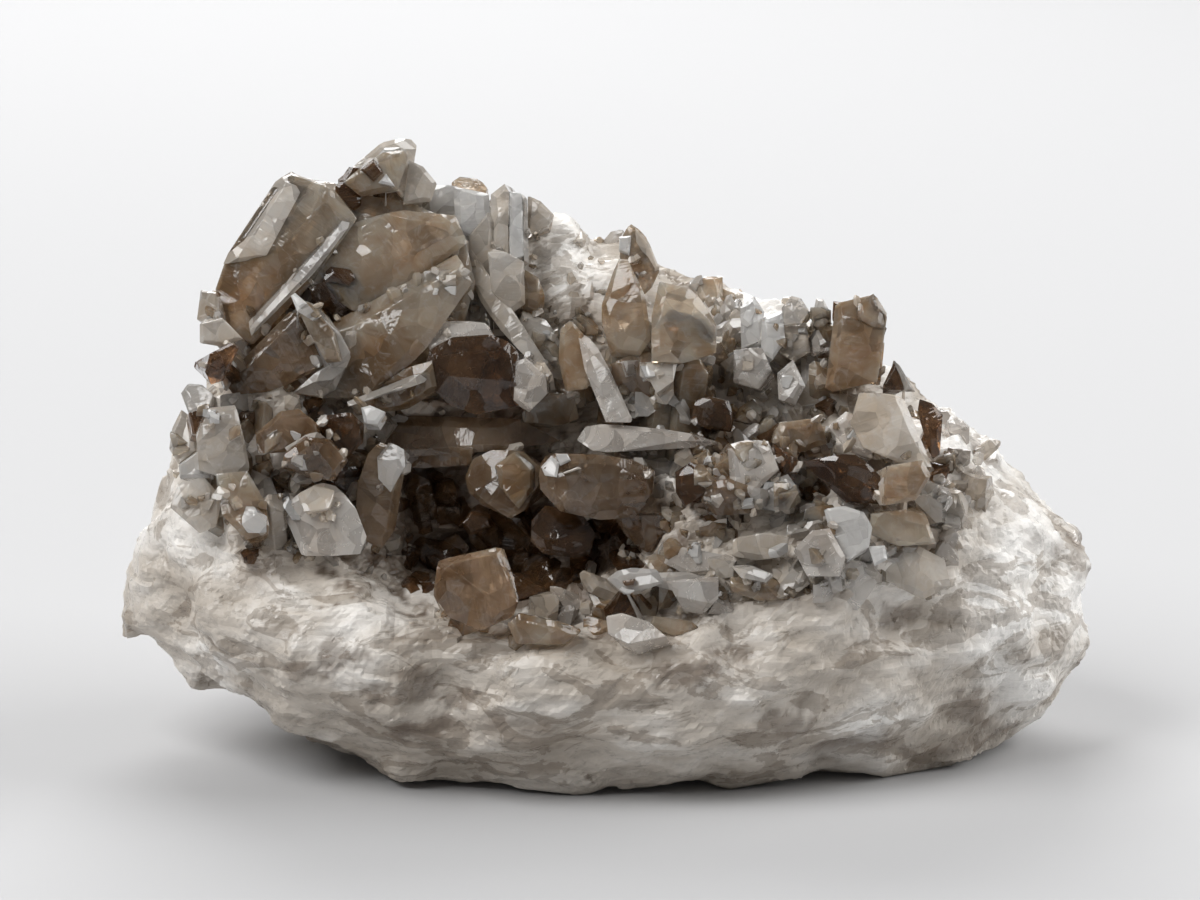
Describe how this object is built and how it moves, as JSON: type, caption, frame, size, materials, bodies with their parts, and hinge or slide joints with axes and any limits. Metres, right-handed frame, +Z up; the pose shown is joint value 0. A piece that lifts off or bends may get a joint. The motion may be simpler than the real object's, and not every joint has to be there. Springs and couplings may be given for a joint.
{
  "type": "smoky quartz cluster",
  "caption": "Blocky milky quartz matrix carrying fused smoky and clear quartz crystals: long leaning blades, spires, short points and an open dark pocket in the front.",
  "frame": {"origin": "middle of the flat spot on the underside that the block rests on", "axes": "+X along the length, to the right seen from the front; +Y to the back; +Z up"},
  "size_m": [0.1497, 0.083, 0.0946],
  "materials": {
    "milky_quartz": "weathered, frosted",
    "pale_quartz": "clear to frosted, glossy faces",
    "smoky_quartz": "see-through brown, glossy faces",
    "dark_quartz": "deep brown, glossy faces"
  },
  "bodies": {
    "root": {"milky_quartz_block": "milky_quartz", "back_crest_crystals": "pale_quartz", "centre_pale_crystals": "pale_quartz", "clear_lip_point": "pale_quartz", "front_ledge_crystals": "pale_quartz", "front_right_crystals": "pale_quartz", "frosted_knob": "pale_quartz", "grey_slab": "pale_quartz", "left_druse": "pale_quartz", "pale_blade": "pale_quartz", "pale_lip_crystals": "pale_quartz", "pocket_pillar": "pale_quartz", "right_crest_crystals": "pale_quartz", "small_clear_point": "pale_quartz", "centre_spires": "smoky_quartz", "front_knob": "smoky_quartz", "hanging_crystal": "smoky_quartz", "left_pocket_crystals": "smoky_quartz", "overhanging_crystal_left": "smoky_quartz", "overhanging_crystals": "smoky_quartz", "right_ledge_crystals": "smoky_quartz", "right_tower": "smoky_quartz", "roof_crystal": "smoky_quartz", "rough_ledge_crystals": "smoky_quartz", "summit_crystals": "smoky_quartz", "upper_left_blades": "smoky_quartz", "dark_crystal": "dark_quartz", "pocket_crust": "dark_quartz", "slim_dark_crystal_lower": "dark_quartz", "slim_dark_crystal_upper": "dark_quartz"}
  },
  "joints": []
}
